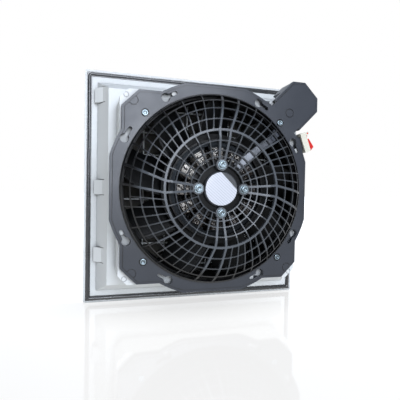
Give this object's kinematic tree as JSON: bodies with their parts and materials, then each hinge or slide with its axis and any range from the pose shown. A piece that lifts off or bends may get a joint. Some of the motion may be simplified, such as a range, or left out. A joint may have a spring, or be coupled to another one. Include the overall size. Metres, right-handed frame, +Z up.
{
  "type": "enclosure filter fan",
  "caption": "Square filter fan for an enclosure panel: louvred front with filter mat, clip-in housing and a bayonet-mounted fan unit with domed guard, motor and lever terminal.",
  "frame": {"origin": "centre of the square panel cut-out, on the rear face of the flange", "axes": "+Z up, +Y into the enclosure along the fan's axis, louvre grille faces -Y, +X to the left as seen from behind"},
  "size_m": [0.323, 0.1435, 0.323],
  "materials": {
    "housing_plastic": "light grey moulded ABS, fine spark-eroded grain",
    "seal_foam": "foamed polyurethane seal with a skin",
    "filter_fibre": "chopped-fibre filter mat",
    "plate_plastic": "slate-grey glass-filled polyamide",
    "guard_plastic": "black moulded polyamide, slight sheen",
    "zinc_screw": "bluish zinc-plated steel",
    "duct_plastic": "light grey moulded plastic",
    "motor_casting": "black-coated die-cast aluminium",
    "cap_plastic": "dark grey moulded plastic",
    "plate_film": "bare white film",
    "core_steel": "laminated electrical steel",
    "winding_copper": "copper wire under dark dipping varnish",
    "bearing_steel": "ground bearing steel",
    "rotor_steel": "black dip-coated steel cup",
    "capacitor_can": "drawn aluminium can",
    "terminal_cream": "cream moulded polyamide",
    "lever_red": "red moulded polyamide"
  },
  "bodies": {
    "frame": {"mounting_frame": "housing_plastic", "frame_seal": "seal_foam", "filter_support_grid": "housing_plastic", "filter_mat": "filter_fibre", "bayonet_studs": "housing_plastic"},
    "louvre": {"louvre_grille": "housing_plastic"},
    "fan_unit": {"fan_plate": "plate_plastic", "terminal_box": "plate_plastic", "run_capacitor": "capacitor_can", "terminal_block": "terminal_cream", "wall_ring": "guard_plastic", "plate_screws": "zinc_screw", "guard_grille": "guard_plastic", "hub_screws": "zinc_screw", "cable_duct": "duct_plastic", "motor_flange": "motor_casting", "motor_cap": "cap_plastic", "rating_plate": "plate_film", "stator_core": "core_steel", "stator_winding": "winding_copper", "front_bearing": "bearing_steel", "rear_bearing": "bearing_steel"},
    "rotor": {"rotor_shell": "rotor_steel", "rotor_core": "core_steel", "motor_shaft": "bearing_steel", "impeller": "guard_plastic"},
    "lever": {"terminal_lever": "lever_red"},
    "clip_left_top": {"panel_clip_left_top": "housing_plastic"},
    "clip_left_middle": {"panel_clip_left_middle": "housing_plastic"},
    "clip_left_bottom": {"panel_clip_left_bottom": "housing_plastic"},
    "clip_right_top": {"panel_clip_right_top": "housing_plastic"},
    "clip_right_middle": {"panel_clip_right_middle": "housing_plastic"},
    "clip_right_bottom": {"panel_clip_right_bottom": "housing_plastic"}
  },
  "joints": [
    {"name": "louvre_hinge", "type": "hinge", "parent": "frame", "child": "louvre", "pos_m": [0, -0.0093, -0.1575], "axis": [1, 0, 0], "range_deg": [0, 90]},
    {"name": "bayonet_twist", "type": "hinge", "parent": "frame", "child": "fan_unit", "pos_m": [0, 0.08, 0], "axis": [0, -1, 0], "range_deg": [0, 6]},
    {"name": "rotor_spin", "type": "hinge", "parent": "fan_unit", "child": "rotor", "pos_m": [0, 0.075, 0], "axis": [0, 1, 0], "continuous": true},
    {"name": "lever_pivot", "type": "hinge", "parent": "fan_unit", "child": "lever", "pos_m": [-0.13149, 0.08, 0.07868], "axis": [0, 1, 0], "range_deg": [0, 35]},
    {"name": "clip_flex_left_top", "type": "hinge", "parent": "frame", "child": "clip_left_top", "pos_m": [0.13481, 0.019, 0.12525], "axis": [0, 0, -1], "range_deg": [0, 10], "stiffness_Nm_per_rad": 0.5},
    {"name": "clip_flex_left_middle", "type": "hinge", "parent": "frame", "child": "clip_left_middle", "pos_m": [0.13481, 0.019, 0], "axis": [0, 0, -1], "range_deg": [0, 10], "stiffness_Nm_per_rad": 0.5},
    {"name": "clip_flex_left_bottom", "type": "hinge", "parent": "frame", "child": "clip_left_bottom", "pos_m": [0.13481, 0.019, -0.09267], "axis": [0, 0, -1], "range_deg": [0, 10], "stiffness_Nm_per_rad": 0.5},
    {"name": "clip_flex_right_top", "type": "hinge", "parent": "frame", "child": "clip_right_top", "pos_m": [-0.13481, 0.019, 0.12525], "axis": [0, 0, 1], "range_deg": [0, 10], "stiffness_Nm_per_rad": 0.5},
    {"name": "clip_flex_right_middle", "type": "hinge", "parent": "frame", "child": "clip_right_middle", "pos_m": [-0.13481, 0.019, 0], "axis": [0, 0, 1], "range_deg": [0, 10], "stiffness_Nm_per_rad": 0.5},
    {"name": "clip_flex_right_bottom", "type": "hinge", "parent": "frame", "child": "clip_right_bottom", "pos_m": [-0.13481, 0.019, -0.09267], "axis": [0, 0, 1], "range_deg": [0, 10], "stiffness_Nm_per_rad": 0.5}
  ]
}
